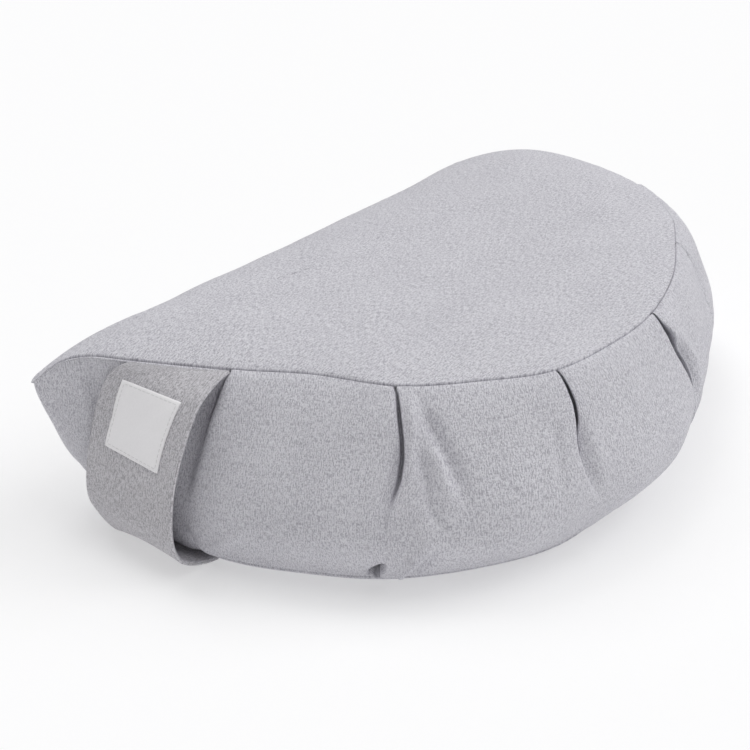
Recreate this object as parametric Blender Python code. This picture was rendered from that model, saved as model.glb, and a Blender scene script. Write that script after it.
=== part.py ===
# A half-moon floor cushion: one filled body with pleated sides, a wide carry strap and a small blank label.
import bmesh
import bpy
import numpy as np
from mathutils import Vector
from mathutils.bvhtree import BVHTree

# Lengths are in metres. X runs along the straight back edge, the curved front faces -Y.
CROWN_HEIGHT = 0.1245
BOTTOM_SEAM_HEIGHT = 0.005
SEAM_GROOVE_DEPTH = 0.0014
PANEL_ROUNDNESS = 2.6
PLEAT_DEPTH = 0.0060
PLEAT_LENGTH = 0.056
BOTTOM_PLEAT_DEPTH = 0.0045
BOTTOM_PLEAT_LENGTH = 0.034
PLEAT_LIP = 0.0014
COLUMN_SPACING = 0.014
STRAP_THICKNESS = 0.0025
LABEL_SIDE = 0.041
LABEL_THICKNESS = 0.0009
LABEL_START = 0.0212
PIECE_GAP = 0.0004
STRAP_CLEARANCE = 0.0022

# Which way each fold laps: 1 over the cloth on its far side, -1 over the cloth on its strap side.
LAPS = {"pleat 1": -1, "pleat 2": -1, "pleat 3": 1, "pleat 4": 1, "pleat 5": 1, "pleat 6": 1}

# The two ends of the line under the middle of the top panel that its rings close in on, x and y.
SPINE = np.array([(-0.129, 0.076), (0.099, 0.048)])

# Stations round the cushion, in millimetres: place, x and y of the top seam, height of the top seam,
# x and y of the bottom seam, bulge of the side between the two seams.
STATIONS = [
    ("near tip", -227, 119, 93, -185, 88, 11),
    ("near tip front", -219, 107, 106, -195, 89, 11),
    ("near side", -209, 91, 113, -201, 82, 10),
    ("strap", -193, 62, 114, -198, 57, 14),
    ("pleat 1", -166, 21, 114, -187, 6, 22),
    ("between 1 and 2", -139, -14, 114, -167, -32, 28),
    ("pleat 2", -116, -57, 114, -136, -73, 29),
    ("between 2 and 3", -81, -86, 114, -93, -102, 30),
    ("pleat 3", -43, -108, 114, -46, -119, 29),
    ("between 3 and 4", 5, -110, 113, 6, -115, 28),
    ("pleat 4", 50, -103, 113, 50, -103, 26),
    ("between 4 and 5", 96, -83, 113, 93, -78, 25),
    ("pleat 5", 138, -53, 111, 133, -48, 27),
    ("between 5 and 6", 176, -19, 107, 171, -15, 31),
    ("pleat 6", 202, 29, 104, 197, 31, 30),
    ("far tip", 208, 82, 102, 203, 81, 24),
    ("far corner", 191, 120, 103, 189, 117, 15),
    ("back far", 148, 135, 104, 148, 131, 13),
    ("back 4", 89, 129, 105, 89, 125, 13),
    ("back 3", 15, 124, 106, 15, 119, 13),
    ("back 2", -60, 120, 105, -60, 115, 13),
    ("back 1", -134, 119, 101, -132, 111, 11),
    ("back near", -190, 121, 97, -170, 109, 8),
    ("near corner", -214, 126, 93, -183, 105, 13),
]

# Lines across the strap from its top seam to its bottom seam, in millimetres: x, y and z of the middle,
# direction across as x, y and z, half the width.
STRAP_ROWS = [
    (-182.0, 43.1, 112.3, 0.50, -0.86, 0.00, 27.5),
    (-190.3, 45.2, 110.0, 0.36, -0.93, -0.02, 28.8),
    (-200.3, 46.8, 102.5, 0.16, -0.98, -0.04, 31.2),
    (-209.0, 49.0, 82.8, 0.06, -1.00, -0.06, 33.0),
    (-217.0, 49.0, 62.3, 0.06, -1.00, -0.06, 33.0),
    (-221.5, 47.5, 44.6, 0.06, -1.00, -0.07, 33.2),
    (-221.5, 46.8, 29.5, 0.06, -1.00, -0.08, 33.2),
    (-216.5, 46.5, 17.5, 0.06, -1.00, -0.09, 32.0),
    (-209.0, 46.5, 9.8, 0.10, -0.99, -0.05, 31.5),
    (-201.5, 45.5, 6.3, 0.20, -0.98, -0.01, 31.5),
]


def catmull_rom(before, start, end, after, share):
    return 0.5 * (
        2 * start
        + (end - before) * share
        + (2 * before - 5 * start + 4 * end - after) * share**2
        + (3 * start - before - 3 * end + after) * share**3
    )


def round_the_stations(place):
    """Station values at places between the stations; the first follows the last."""
    table = np.array([row[1:] for row in STATIONS], float) / 1000
    count = len(table)
    first = np.floor(place).astype(int)
    share = (place - first)[:, None]
    return catmull_rom(
        table[(first - 1) % count],
        table[first % count],
        table[(first + 1) % count],
        table[(first + 2) % count],
        share,
    )


def seam_lengths():
    """Fine places round the stations and the seam length up to each."""
    place = np.linspace(0, len(STATIONS), 4801)
    points = round_the_stations(place)[:, :2]
    steps = np.linalg.norm(np.diff(points, axis=0), axis=1)
    return place, np.concatenate([[0], np.cumsum(steps)])


def pleat_positions(place, length):
    """Seam length and lap of each fold."""
    names = [row[0] for row in STATIONS]
    return [(np.interp(i, place, length), LAPS[name]) for i, name in enumerate(names) if name in LAPS]


def column_positions(pleats, whole):
    """Seam lengths of the columns, close together at the folds."""
    near_fold = (-0.022, -0.013, -0.0075, -0.004, -0.0015, 0.0012, 0.004, 0.008, 0.0135, 0.021, 0.032)
    fixed = sorted(pleat + lap * offset for pleat, lap in pleats for offset in near_fold)
    fixed = np.array([0.0] + fixed + [whole])
    columns = []
    for start, end in zip(fixed[:-1], fixed[1:]):
        parts = max(1, int(np.ceil((end - start) / COLUMN_SPACING)))
        columns.extend(np.linspace(start, end, parts, endpoint=False))
    return np.array(columns)


def outward_directions(points):
    """Level directions out of the seam outline, smoothed so that the sides don't cross at the tips."""
    along = np.roll(points, -1, axis=0) - np.roll(points, 1, axis=0)
    along /= np.linalg.norm(along, axis=1)[:, None]
    out = np.stack([along[:, 1], -along[:, 0]], axis=1)
    for _ in range(8):
        out = (np.roll(out, 1, axis=0) + 2 * out + np.roll(out, -1, axis=0)) / 4
        out /= np.linalg.norm(out, axis=1)[:, None]
    return out


def smooth_step(low, high, value):
    share = np.clip((value - low) / (high - low), 0, 1)
    return share * share * (3 - 2 * share)


def fold_profile(offset, depth):
    """Height across a fold: a rounded lip on the near side, then a drop that fills out again."""
    lip = PLEAT_LIP * np.exp(-(((offset + 0.005) / 0.006) ** 2))
    drop = -depth * np.exp(-np.maximum(offset, 0) / 0.011)
    return lip + drop * smooth_step(-0.0018, 0.0014, offset)


def fold_height(position, down, up, pleats, whole):
    """Total height of all the folds at a seam length, a distance under the top seam and over the bottom one."""
    total = 0.0
    for pleat, lap in pleats:
        offset = position - pleat
        offset = ((offset + whole / 2) % whole - whole / 2) * lap
        top = (0.3 + 0.7 * smooth_step(0, 0.011, down)) * (1 - smooth_step(0.02, PLEAT_LENGTH, down))
        low = (0.3 + 0.7 * smooth_step(0, 0.008, up)) * (1 - smooth_step(0.01, BOTTOM_PLEAT_LENGTH, up))
        total = total + top * fold_profile(offset, PLEAT_DEPTH)
        total = total + low * fold_profile(offset, BOTTOM_PLEAT_DEPTH)
    return total


def swell(v):
    """Share of the bulge reached at a place between the seams, most just under half way down."""
    return np.sin(np.pi * v) ** 0.8 * (1 + 0.18 * np.sin(2 * np.pi * (v - 0.5)))


def side_row(v, position, values, out, pleats, whole):
    """One row of the side panel; v is 0 at the top seam and 1 at the bottom seam."""
    top = values[:, :3]
    low = np.column_stack([values[:, 3:5], np.full(len(top), BOTTOM_SEAM_HEIGHT)])
    tall = top[:, 2] - BOTTOM_SEAM_HEIGHT
    push = values[:, 5] * swell(v) + fold_height(position, tall * v, tall * (1 - v), pleats, whole)
    return top * (1 - v) + low * v + np.column_stack([out * push[:, None], np.zeros(len(top))])


def panel_ring(edge, share, height, power):
    """One ring of a panel; share is 1 at the seam and falls to 0 on the spine."""
    run = SPINE[1] - SPINE[0]
    along = np.clip(((edge[:, :2] - SPINE[0]) @ run) / (run @ run), 0, 1)
    core = SPINE[0] + along[:, None] * run
    level = core + (edge[:, :2] - core) * share
    return np.column_stack([level, edge[:, 2] + (height - edge[:, 2]) * (1 - share**power)])


def cushion_rows():
    """Closed loops of points from the middle of the top, over the sides, to the middle of the underside."""
    place, length = seam_lengths()
    whole = length[-1]
    pleats = pleat_positions(place, length)
    position = column_positions(pleats, whole)
    values = round_the_stations(np.interp(position, length, place))
    out = outward_directions(values[:, :2])
    rows = []
    seam = values[:, :3]
    for share in (0.12, 0.32, 0.5, 0.66, 0.79, 0.89, 0.955, 0.985):
        rows.append(panel_ring(seam, share, CROWN_HEIGHT, PANEL_ROUNDNESS))
    rows.append(seam - np.column_stack([out * 0.6, np.full(len(out), 0.8)]) * SEAM_GROOVE_DEPTH)
    for v in (0.022, 0.06, 0.12, 0.2, 0.3, 0.42, 0.54, 0.66, 0.77, 0.86, 0.93, 0.975):
        rows.append(side_row(v, position, values, out, pleats, whole))
    bottom = np.column_stack([values[:, 3:5], np.full(len(out), BOTTOM_SEAM_HEIGHT)])
    rows.append(bottom)
    for share, height in ((0.975, 0.0012), (0.93, 0.0), (0.6, 0.0), (0.15, 0.0)):
        ring = panel_ring(bottom, share, 0.0, 1.0)
        ring[:, 2] = height
        rows.append(ring)
    return rows


def strap_frames(steps):
    """Middle, half-width vector, outward normal and length down the strap, for rows of points across it."""
    table = np.array(STRAP_ROWS, float)
    across = table[:, 3:6] / np.linalg.norm(table[:, 3:6], axis=1)[:, None] * table[:, 6:7]
    table = np.hstack([table[:, :3], across]) / 1000
    last = len(table) - 1
    rows = []
    for place in np.linspace(0, last, last * steps + 1):
        first = min(int(place), last - 1)
        around = [table[min(max(first + k, 0), last)] for k in (-1, 0, 1, 2)]
        rows.append(catmull_rom(*around, place - first))
    rows = np.array(rows)
    middle, half = rows[:, :3], rows[:, 3:]
    down = np.gradient(middle, axis=0)
    down /= np.linalg.norm(down, axis=1)[:, None]
    normal = np.cross(down, half)
    normal /= np.linalg.norm(normal, axis=1)[:, None]
    length = np.concatenate([[0], np.cumsum(np.linalg.norm(np.diff(middle, axis=0), axis=1))])
    return middle, half, normal, length


def tree_of(solid):
    points = [vertex.co for vertex in solid.data.vertices]
    return BVHTree.FromPolygons(points, [list(face.vertices) for face in solid.data.polygons])


def kept_clear(points, distance):
    """The points, moved level and outwards where they are nearer to the cushion's side than the distance."""
    place, length = seam_lengths()
    position = np.linspace(0, 0.2, 201)
    values = round_the_stations(np.interp(position, length, place))
    out = outward_directions(values[:, :2])
    out = np.column_stack([np.convolve(np.pad(out[:, k], 12, "edge"), np.ones(25) / 25, "valid") for k in (0, 1)])
    cleared = []
    for point in points:
        apart = point[:2] - values[:, :2]
        beyond = np.einsum("ij,ij->i", apart, out)
        i = np.argmin(np.linalg.norm(apart - out * beyond[:, None], axis=1))
        v = np.clip((values[i, 2] - point[2]) / (values[i, 2] - BOTTOM_SEAM_HEIGHT), 0, 1)
        level = values[i, :2] * (1 - v) + values[i, 3:5] * v + out[i] * values[i, 5] * swell(v)
        needed = (level - values[i, :2]) @ out[i] + distance
        if beyond[i] < needed:
            point = np.append(point[:2] + out[i] * (needed - beyond[i]), point[2])
        cleared.append(point)
    return np.array(cleared)


def band_loops(middle, half, normal, sides, offset):
    """Closed loops round a flat band, one for each row; sides holds (place across, height)."""
    loops = []
    for m, h, n in zip(middle, half, normal):
        loops.append(np.array([m + h * across + n * (height + offset) for across, height in sides]))
    return loops


def body_from_loops(name, loops, colour):
    """A closed body from loops of the same number of points, with both ends filled."""
    mesh = bmesh.new()
    rings = [[mesh.verts.new(point) for point in loop] for loop in loops]
    count = len(rings[0])
    for upper, lower in zip(rings[:-1], rings[1:]):
        for i in range(count):
            j = (i + 1) % count
            mesh.faces.new((upper[i], lower[i], lower[j], upper[j]))
    mesh.faces.new(rings[0])
    mesh.faces.new(list(reversed(rings[-1])))
    bmesh.ops.recalc_face_normals(mesh, faces=mesh.faces)
    bmesh.ops.triangulate(mesh, faces=[face for face in mesh.faces if len(face.verts) > 4])
    data = bpy.data.meshes.new(name)
    mesh.to_mesh(data)
    mesh.free()
    body = bpy.data.objects.new(name, data)
    bpy.context.collection.objects.link(body)
    for face in data.polygons:
        face.use_smooth = True
    material = bpy.data.materials.new(name + "_cloth")
    material.use_nodes = True
    shader = material.node_tree.nodes["Principled BSDF"]
    shader.inputs["Base Color"].default_value = (*colour, 1.0)
    shader.inputs["Roughness"].default_value = 0.9
    data.materials.append(material)
    return body


def build_cushion():
    return body_from_loops("cushion", cushion_rows(), (0.50, 0.50, 0.54))


def build_strap():
    half_thick = STRAP_THICKNESS / 2
    outline = [(-1.0, 0.4), (-0.97, 0.85)]
    outline += [(across, 1.0) for across in np.linspace(-0.9, 0.9, 10)]
    outline += [(0.97, 0.85), (1.0, 0.4)]
    outline += [(across, -height) for across, height in reversed(outline)]
    sides = [(across, height * half_thick) for across, height in outline]
    middle, half, normal, _ = strap_frames(5)
    loops = []
    for loop in band_loops(middle, half, normal, sides, 0.0):
        count = len(sides) // 2
        outer, inner = loop[:count], loop[count:]
        inner = kept_clear(inner, STRAP_CLEARANCE)
        outer = kept_clear(outer, STRAP_CLEARANCE + STRAP_THICKNESS)
        loops.append(np.vstack([outer, inner]))
    return body_from_loops("carry_strap", loops, (0.44, 0.44, 0.47))


def build_label(strap):
    middle, half, normal, length = strap_frames(20)
    places = np.linspace(LABEL_START, LABEL_START + LABEL_SIDE, 15)
    middle = np.column_stack([np.interp(places, length, middle[:, k]) for k in range(3)])
    half = np.column_stack([np.interp(places, length, half[:, k]) for k in range(3)])
    normal = np.column_stack([np.interp(places, length, normal[:, k]) for k in range(3)])
    half = half / np.linalg.norm(half, axis=1)[:, None] * (LABEL_SIDE / 2)
    band = tree_of(strap)
    across = np.linspace(-1, 1, 9)
    loops = []
    for m, h, n in zip(middle, half, normal):
        inner = []
        for share in across:
            near, _, _, _ = band.find_nearest(Vector(m + h * share + n * 0.006))
            inner.append(np.array(near) + n * PIECE_GAP)
        outer = [point + n * LABEL_THICKNESS for point in inner]
        loops.append(np.array(outer + list(reversed(inner))))
    return body_from_loops("label", loops, (0.82, 0.81, 0.82))


def stand_on_the_origin(bodies):
    """Moves all the bodies so that the middle of their common box stands on the origin."""
    points = np.array([v.co for body in bodies for v in body.data.vertices])
    low, high = points.min(axis=0), points.max(axis=0)
    shift = Vector(((low[0] + high[0]) / 2, (low[1] + high[1]) / 2, low[2]))
    for body in bodies:
        for vertex in body.data.vertices:
            vertex.co = vertex.co - shift
    print("centre moved by", [round(value * 1000, 3) for value in shift], "mm")


for old in list(bpy.data.objects):
    bpy.data.objects.remove(old)
cushion_body = build_cushion()
strap_body = build_strap()
label_body = build_label(strap_body)
stand_on_the_origin([cushion_body, strap_body, label_body])
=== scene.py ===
import math

import bmesh
import bpy
import numpy as np
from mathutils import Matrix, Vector, noise


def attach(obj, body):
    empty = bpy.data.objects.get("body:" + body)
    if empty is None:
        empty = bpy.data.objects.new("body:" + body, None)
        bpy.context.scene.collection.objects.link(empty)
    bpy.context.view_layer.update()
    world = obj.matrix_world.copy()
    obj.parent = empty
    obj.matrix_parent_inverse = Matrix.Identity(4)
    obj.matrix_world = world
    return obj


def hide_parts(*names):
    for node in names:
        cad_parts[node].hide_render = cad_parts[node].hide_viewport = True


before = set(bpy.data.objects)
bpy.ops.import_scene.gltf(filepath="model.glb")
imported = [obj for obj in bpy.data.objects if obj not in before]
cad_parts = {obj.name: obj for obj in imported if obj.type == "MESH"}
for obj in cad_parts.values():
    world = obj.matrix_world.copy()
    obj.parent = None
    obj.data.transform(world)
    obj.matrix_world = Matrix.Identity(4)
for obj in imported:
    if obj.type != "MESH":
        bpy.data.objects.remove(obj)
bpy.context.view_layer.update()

# A half-moon floor cushion with pleated sides, a wide carry strap and a small bare label.
mm = 0.001
centreShift = np.array([3.059, 0.089, 0.0]) * mm  # from the table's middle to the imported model's


def deselectAll():
    bpy.ops.object.select_all(action="DESELECT")


def selectOnly(piece):
    deselectAll()
    piece.select_set(True)
    bpy.context.view_layer.objects.active = piece


def easeStep(low, high, value):
    share = np.clip((value - low) / (high - low), 0, 1)
    return share * share * (3 - 2 * share)


def hump(value, middle, width):
    return np.exp(-(((value - middle) / width) ** 2))


# ---- the shape that the cover and the strap share ----

cushionValues = {
    "crownHeight": 124.5 * mm,
    "bottomSeamHeight": 5.0 * mm,
    "panelRoundness": 2.6,
    "columns": 640,
    "plainSpacing": 3.0 * mm,
    "foldSpacing": 0.34 * mm,
    "puffBetweenFolds": 1.6 * mm,
    "seamPucker": 0.22 * mm,
    "softUnevenness": 0.7 * mm,
    "strapLift": 1.2 * mm,
    "cornerLift": 0.8 * mm,
    "cornerPlace": 97 * mm,
    "cornerReach": 9 * mm,
    "fill": 0.85,
}

# Places round the cushion in millimetres: top seam x, y and height, bottom seam x and y, bulge between them.
stations = [
    ("near tip", -227, 119, 93, -185, 88, 11),
    ("near tip front", -219, 107, 106, -195, 89, 11),
    ("near side", -209, 91, 113, -201, 82, 10),
    ("strap", -193, 62, 114, -198, 57, 14),
    ("pleat 1", -166, 21, 114, -187, 6, 22),
    ("between 1 and 2", -139, -14, 114, -167, -32, 28),
    ("pleat 2", -116, -57, 114, -136, -73, 29),
    ("between 2 and 3", -81, -86, 114, -93, -102, 30),
    ("pleat 3", -43, -108, 114, -46, -119, 29),
    ("between 3 and 4", 5, -110, 113, 6, -115, 28),
    ("pleat 4", 50, -103, 113, 50, -103, 26),
    ("between 4 and 5", 96, -83, 113, 93, -78, 25),
    ("pleat 5", 138, -53, 111, 133, -48, 27),
    ("between 5 and 6", 176, -19, 107, 171, -15, 31),
    ("pleat 6", 202, 29, 104, 197, 31, 30),
    ("far tip", 208, 82, 102, 203, 81, 24),
    ("far corner", 191, 120, 103, 189, 117, 15),
    ("back far", 148, 135, 104, 148, 131, 13),
    ("back 4", 89, 129, 105, 89, 125, 13),
    ("back 3", 15, 124, 106, 15, 119, 13),
    ("back 2", -60, 120, 105, -60, 115, 13),
    ("back 1", -134, 119, 101, -132, 111, 11),
    ("back near", -190, 121, 97, -170, 109, 8),
    ("near corner", -214, 126, 93, -183, 105, 13),
]
spineEnds = np.array([(-129.0, 76.0), (99.0, 48.0)]) * mm

# Each pleat, in millimetres: how far along from its station, its section, the way it laps (1 over its far side, -1 over
# its strap side), how wide its slit opens, by what depth, and how it leans, how far the far side stands up, how far down the slit and the
# soft valley after it reach, and its path as (down, sideways).
pleats = {
    "pleat 1": {"along": 0, "section": "lapped", "lap": -1, "opening": 2.4, "openBy": 12, "lean": 0, "step": 0, "slitFull": 22, "slitEnd": 50, "valleyDepth": 7.0, "valleyWidth": 8.0, "valleyFrom": 2, "valleyEnd": 76, "top": 1.3, "low": 0.9, "path": [(0, 0), (10, -3.6), (24, -8.7), (38, -13), (51, -17), (75, -19), (91, -18.5), (99, -15), (110, -10)]},
    "pleat 2": {"along": 0.4, "section": "open", "lap": -1, "opening": 0.9, "openBy": 12, "lean": 0, "step": 0.5, "slitFull": 34, "slitEnd": 58, "valleyDepth": 4.0, "valleyWidth": 3.6, "valleyFrom": 18, "valleyEnd": 76, "top": 1.0, "low": 1.9, "path": [(0, 0.6), (8, 2.8), (22, 5.2), (31, 5.8), (41, 4.6), (50, 1.8), (60, -1.2), (80, 0), (98, -2.6), (104, -5.0), (110, -6.0)]},
    "pleat 3": {"along": 1.2, "section": "open", "lap": 1, "opening": 0.6, "openBy": 12, "lean": 0.8, "step": 0.8, "slitFull": 28, "slitEnd": 46, "valleyDepth": 4.4, "valleyWidth": 3.0, "valleyFrom": 20, "valleyEnd": 76, "top": 1.0, "low": 0.8, "path": [(0, 0), (7, 1.6), (16, 2.6), (25, 2.0), (34, 0.5), (42, 0.5), (51, 1.4), (62, 3.8), (73, 7.6), (95, 6), (110, 2)]},
    "pleat 4": {"along": 0, "section": "open", "lap": 1, "opening": 6.0, "openBy": 38, "lean": 1.5, "step": 3.4, "slitFull": 46, "slitEnd": 70, "valleyDepth": 5.4, "valleyWidth": 5.4, "valleyFrom": 14, "valleyEnd": 84, "top": 1.0, "low": 0.8, "path": [(0, 0), (9, 0.2), (18, 2.4), (26, 6.6), (34, 10.8), (43, 14.5), (52, 17), (66, 18), (110, 6)]},
    "pleat 5": {"along": 0, "section": "open", "lap": 1, "opening": 1.8, "openBy": 12, "lean": 0.8, "step": 1.4, "slitFull": 24, "slitEnd": 48, "valleyDepth": 1.6, "valleyWidth": 4.4, "valleyFrom": 4, "valleyEnd": 66, "top": 1.2, "low": 0.6, "path": [(0, 0), (18, 0.5), (34, 2), (60, 6), (110, 4)]},
    "pleat 6": {"along": 0, "section": "lapped", "lap": 1, "opening": 1.4, "openBy": 12, "lean": 0, "step": 0, "slitFull": 14, "slitEnd": 42, "valleyDepth": 3.4, "valleyWidth": 4.6, "valleyFrom": 8, "valleyEnd": 66, "top": 1.0, "low": 0.8, "path": [(0, 0), (18, 1.0), (40, 3), (110, 1)]},
}

# Sections of a pleat: place on the cloth, height, place across less the place on the cloth, and how much of the
# opening that place takes, in millimetres from the fold; the lapping side, or the strap side of an open one, is first.
pleatSections = {
    "lapped": np.array([
        (-30.0, 0.00, 0.00, 0.0), (-16.0, 0.10, 0.00, 0.0), (-9.0, 0.45, 0.15, 0.0), (-5.0, 0.90, 0.35, 0.0),
        (-2.6, 1.10, 0.70, 0.0), (-1.4, 0.95, 0.95, 0.0), (-0.8, 0.20, 1.10, 0.0), (-0.45, -2.2, 0.60, 0.0),
        (-0.15, -5.5, -0.15, 0.0), (0.2, -7.5, -0.50, 0.1), (0.55, -6.0, -0.35, 0.5), (0.9, -3.2, -0.60, 1.0),
        (1.3, -2.0, -0.75, 1.0), (1.9, -1.45, -0.75, 1.0), (3.0, -1.1, -0.80, 0.9), (5.0, -0.8, -0.50, 0.6),
        (8.0, -0.5, -0.20, 0.3), (12.0, -0.25, 0.00, 0.1), (20.0, -0.05, 0.00, 0.0), (30.0, 0.00, 0.00, 0.0),
    ]),
    "open": np.array([
        (-30.0, 0.00, 0.00, 0.0), (-12.0, 0.00, 0.00, 0.0), (-6.0, 0.10, 0.05, 0.0), (-3.0, 0.20, 0.20, 0.0),
        (-1.6, 0.20, 0.45, 0.0), (-1.0, 0.10, 0.60, 0.0), (-0.7, -0.15, 0.62, 0.0), (-0.4, -1.6, 0.50, 0.0),
        (-0.1, -5.0, 0.20, 0.0), (0.2, -9.5, 0.10, 0.1), (0.5, -10.5, 0.50, 0.5), (0.8, -7.2, 0.40, 1.0),
        (1.1, -3.9, 0.10, 1.0), (1.5, -1.8, -0.15, 1.0), (2.0, -0.9, -0.20, 1.0), (3.0, -0.45, -0.20, 0.9),
        (5.0, -0.15, -0.10, 0.6), (8.0, 0.00, 0.00, 0.3), (12.0, 0.00, 0.00, 0.1), (30.0, 0.00, 0.00, 0.0),
    ]),
}

# Places where the filling pushes the side out or leaves it slack: along and down in millimetres, how far out, reach
# along and reach down.
swellings = [
    {"at": (530, 52), "out": -0.6, "reach": (26, 26)},
    {"at": (496, 62), "out": 3.2, "reach": (26, 34)},
    {"at": (374, 82), "out": 2.4, "reach": (26, 26)},
    {"at": (303, 84), "out": -2.2, "reach": (22, 24)},
    {"at": (95, 98), "out": 5.5, "reach": (12, 12)},
    {"at": (216, 92), "out": 1.2, "reach": (16, 14)},
    {"at": (262, 50), "out": 0.9, "reach": (14, 34)},
    {"at": (342, 40), "out": 0.9, "reach": (22, 30)},
]

# Soft creases in the side panel: (seam length, down) in millimetres along each, its width and its depth.
softCreases = [
    {"line": [(222, 6), (226, 13), (229.5, 19), (234.5, 29), (238.5, 38), (241.5, 47), (243, 60)], "width": 3.2, "depth": 4.4},
    {"line": [(221, 26), (223.6, 34), (225.5, 42), (226.8, 50), (229, 60), (234, 70)], "width": 2.4, "depth": 3.2},
    {"line": [(216, 2), (217.6, 10), (218.6, 22), (218, 36), (217, 48)], "width": 2.6, "depth": -2.2},
    {"line": [(228, 26), (231, 34), (233.5, 44), (236, 54)], "width": 2.6, "depth": -1.6},
    {"line": [(289.5, 18), (289, 30), (288.8, 40), (288, 50), (286, 62)], "width": 3.0, "depth": 1.5},
    {"line": [(281, 30), (280, 44), (278, 58)], "width": 3.4, "depth": 0.8},
    {"line": [(309, 30), (310, 44), (313, 58)], "width": 3.4, "depth": -0.8},
    {"line": [(88, 86), (97, 91), (104, 97)], "width": 2.6, "depth": 1.6},
    {"line": [(107, 101), (113, 95), (121, 86), (128, 78)], "width": 3.0, "depth": -1.8},
    {"line": [(212, 104), (214, 100), (219, 88), (223, 79), (228, 70)], "width": 3.0, "depth": -3.8},
    {"line": [(219, 104), (223, 96), (228, 86), (233, 76)], "width": 3.0, "depth": 3.0},
    {"line": [(200, 104), (197, 92), (196, 80)], "width": 3.4, "depth": 0.8},
    {"line": [(404, 16), (410, 26), (418, 38), (424, 50)], "width": 3.4, "depth": -0.9},
    {"line": [(508, 12), (514, 24), (520, 40)], "width": 3.6, "depth": 1.0},
    {"line": [(585, 14), (582, 28), (580, 44)], "width": 3.4, "depth": 0.9},
    {"line": [(332, 104), (334, 94), (338, 84)], "width": 3.0, "depth": 0.7},
    {"line": [(440, 104), (442, 94), (447, 86)], "width": 3.0, "depth": 0.7},
    {"line": [(1105, 12), (1100, 30), (1092, 52)], "width": 5.0, "depth": 1.6},
    {"line": [(18, 10), (21, 26), (27, 48)], "width": 5.0, "depth": 1.5},
    {"line": [(30, 2), (33, 14), (36, 32), (40, 60), (44, 84)], "width": 5.5, "depth": 3.4},
    {"line": [(48, 4), (47, 30), (47, 60)], "width": 9.0, "depth": 2.0},
]


def betweenStations(place):
    table = np.array([row[1:] for row in stations], float) * mm
    count = len(table)
    first = np.floor(place).astype(int)
    share = (place - first)[:, None]
    before, start, end, after = (table[(first + k) % count] for k in (-1, 0, 1, 2))
    return 0.5 * (
        2 * start
        + (end - before) * share
        + (2 * before - 5 * start + 4 * end - after) * share**2
        + (3 * start - before - 3 * end + after) * share**3
    )


stationPlace = np.linspace(0, len(stations), 4801)
seamSteps = np.linalg.norm(np.diff(betweenStations(stationPlace)[:, :2], axis=0), axis=1)
stationLength = np.concatenate([[0], np.cumsum(seamSteps)])
seamWhole = stationLength[-1]
stationNames = [row[0] for row in stations]
pleatPlace = {name: np.interp(stationNames.index(name), stationPlace, stationLength) + pleat["along"] * mm for name, pleat in pleats.items()}


def aroundSeam(difference):
    return (difference + seamWhole / 2) % seamWhole - seamWhole / 2


def seamColumns():
    """Places along the seam, close together at the pleats."""
    values = cushionValues
    fine = np.linspace(0, seamWhole, 22001)
    density = np.full(len(fine), 1 / values["plainSpacing"])
    for place in pleatPlace.values():
        away = aroundSeam(fine - place)
        density += (1 / values["foldSpacing"] - 1 / values["plainSpacing"]) * np.exp(-((away / (2.2 * mm)) ** 4))
        density += 0.75 / mm * np.exp(-((away / (9 * mm)) ** 4)) + 0.28 / mm * np.exp(-((away / (28 * mm)) ** 4))
    total = np.concatenate([[0], np.cumsum((density[1:] + density[:-1]) / 2)])
    return np.interp(np.arange(values["columns"]) / values["columns"] * total[-1], total, fine)


def outwardOf(points):
    along = np.roll(points, -1, axis=0) - np.roll(points, 1, axis=0)
    along /= np.linalg.norm(along, axis=1)[:, None]
    return np.stack([along[:, 1], -along[:, 0]], axis=1)


fineSeam = np.linspace(0, seamWhole, 110, endpoint=False)
fineOut = outwardOf(betweenStations(np.interp(fineSeam, stationLength, stationPlace))[:, :2])
for _ in range(8):
    fineOut = (np.roll(fineOut, 1, axis=0) + 2 * fineOut + np.roll(fineOut, -1, axis=0)) / 4
    fineOut /= np.linalg.norm(fineOut, axis=1)[:, None]


def outwardAt(place):
    looped = np.concatenate([fineSeam, [seamWhole]])
    out = np.column_stack([np.interp(place, looped, np.append(fineOut[:, k], fineOut[0, k])) for k in (0, 1)])
    return out / np.linalg.norm(out, axis=1)[:, None]


def swell(v):
    return np.sin(np.pi * v) ** 0.8 * (1 + 0.18 * np.sin(2 * np.pi * (v - 0.5)))


def sideRow(v, values, out):
    """The plain side panel at v, 0 at the top seam and 1 at the bottom seam."""
    top = values[:, :3]
    low = np.column_stack([values[:, 3:5], np.full(len(top), cushionValues["bottomSeamHeight"])])
    push = values[:, 5] * swell(v)
    return top * (1 - v) + low * v + np.column_stack([out * push[:, None], np.zeros(len(top))])


def panelRing(edge, inward, height, power):
    """A ring of a panel, a distance in from the seam towards the line under its middle."""
    run = spineEnds[1] - spineEnds[0]
    along = np.clip(((edge[:, :2] - spineEnds[0]) @ run) / (run @ run), 0, 1)
    core = spineEnds[0] + along[:, None] * run
    reach = np.linalg.norm(edge[:, :2] - core, axis=1)
    share = np.clip(1 - inward / reach, 0.03, 1)
    level = core + (edge[:, :2] - core) * share[:, None]
    return np.column_stack([level, edge[:, 2] + (height - edge[:, 2]) * (1 - share**power)]), reach


def followPleats(position, down):
    """Places on the seam at a depth, carried sideways so that the same columns stay on each pleat."""
    moved = position.copy()
    for name, pleat in pleats.items():
        path = np.array(pleat["path"], float) * mm
        away = aroundSeam(position - pleatPlace[name])
        moved = moved + np.interp(down, path[:, 0], path[:, 1]) * np.exp(-((away / (27 * mm)) ** 4))
    return moved


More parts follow.
